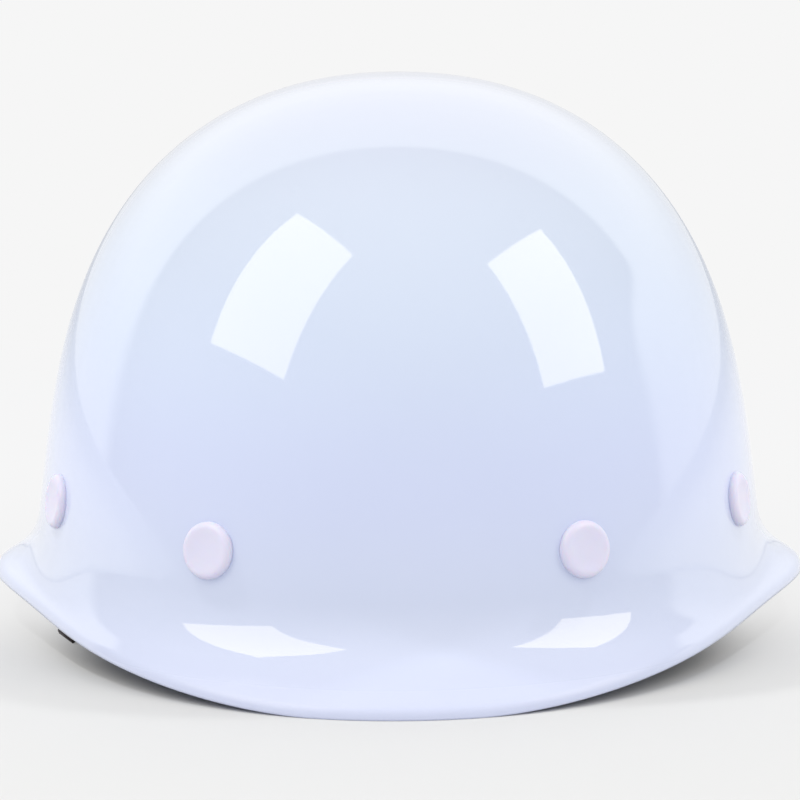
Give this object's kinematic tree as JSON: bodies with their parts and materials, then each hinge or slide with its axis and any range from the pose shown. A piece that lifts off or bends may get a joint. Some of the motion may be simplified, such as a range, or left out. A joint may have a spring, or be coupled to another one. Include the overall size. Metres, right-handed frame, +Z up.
{
  "type": "safety_helmet",
  "caption": "Hard-hat style safety helmet: glossy moulded shell with an all-round flared brim, riveted webbing suspension, ratchet-adjusted headband and buckled chin strap",
  "frame": {"origin": "centre of the helmet's plan on the table it stands on", "axes": "+Z up, -Y towards the helmet's front, +X towards the wearer's left, the helmet mirrored about X = 0 but for its chin buckle, slider, nape arms and one strap tail; left and right in node names are those of someone facing the helmet, so left is -X"},
  "size_m": [0.226, 0.268, 0.1492],
  "materials": {
    "shell_gloss": "gloss, pale blue-white moulded resin",
    "rivet_plastic": "gloss, white",
    "hanger_plastic": "matte, light grey",
    "band_plastic": "satin, milky white",
    "black_plastic": "matte, charcoal",
    "pale_plastic": "matte, natural acetal",
    "liner_foam": "moulded bead foam, white",
    "crown_webbing": "woven webbing, light grey",
    "strap_webbing": "woven webbing, dark brown",
    "pad_cloth": "knitted cloth over foam, grey",
    "steel": "brushed, plated"
  },
  "bodies": {
    "helmet": {"shell": "shell_gloss", "shell_rivets": "rivet_plastic", "rivet_washers": "steel", "hanger_front_left": "hanger_plastic", "hanger_front_right": "hanger_plastic", "hanger_side_front_left": "hanger_plastic", "hanger_side_front_right": "hanger_plastic", "hanger_side_rear_left": "hanger_plastic", "hanger_side_rear_right": "hanger_plastic", "hanger_rear_left": "hanger_plastic", "hanger_rear_right": "hanger_plastic", "impact_liner": "liner_foam", "crown_strap_1": "crown_webbing", "crown_strap_2": "crown_webbing", "crown_strap_3": "crown_webbing", "crown_strap_4": "crown_webbing", "crown_patch": "crown_webbing", "headband": "band_plastic", "sweatband": "pad_cloth", "nape_housing": "black_plastic", "nape_cover": "black_plastic", "click_ring": "pale_plastic", "nape_pad": "pad_cloth", "ear_strap_left": "strap_webbing", "ear_strap_right": "strap_webbing", "strap_pivot_left": "steel", "strap_pivot_right": "steel"},
    "size_knob": {"size_knob": "black_plastic", "pinion": "pale_plastic", "knob_screw": "steel"},
    "arm_left": {"nape_arm_left": "band_plastic"},
    "arm_right": {"nape_arm_right": "band_plastic"},
    "chin_strap": {"strap_eye_left": "black_plastic", "strap_eye_right": "black_plastic", "chin_strap_left": "strap_webbing", "chin_strap_right": "strap_webbing", "buckle_plug": "black_plastic", "buckle_prongs": "black_plastic", "strap_keeper": "black_plastic"},
    "buckle_socket": {"buckle_socket": "black_plastic"},
    "strap_slider": {"strap_slider": "black_plastic"}
  },
  "joints": [
    {"name": "size_knob_turn", "type": "hinge", "parent": "helmet", "child": "size_knob", "pos_m": [0, 0.101, 0.019], "axis": [0, 1, 0], "range_deg": [-119, 119]},
    {"name": "arm_left_slide", "type": "hinge", "parent": "helmet", "child": "arm_left", "pos_m": [0, 0.0215, 0.019], "axis": [0, 0, 1], "range_deg": [-12, 12]},
    {"name": "arm_right_slide", "type": "hinge", "parent": "helmet", "child": "arm_right", "pos_m": [0, 0.0215, 0.019], "axis": [0, 0, 1], "range_deg": [-12, 12]},
    {"name": "chin_strap_swing", "type": "hinge", "parent": "helmet", "child": "chin_strap", "pos_m": [0, -0.038, 0.0115], "axis": [1, 0, 0], "range_deg": [-115, 0]},
    {"name": "buckle_release", "type": "slide", "parent": "chin_strap", "child": "buckle_socket", "axis": [0.5646, 0.8254, 0], "range_m": [0, 0.018], "deforming": ["buckle_prongs"]},
    {"name": "slider_slide", "type": "slide", "parent": "chin_strap", "child": "strap_slider", "axis": [-0.5646, 0.8254, 0], "range_m": [-0.01, 0.01]}
  ],
  "couplings": [
    {"joint": "arm_left_slide", "follows": "size_knob_turn", "ratio": 0.10027},
    {"joint": "arm_right_slide", "follows": "size_knob_turn", "ratio": -0.098039}
  ]
}
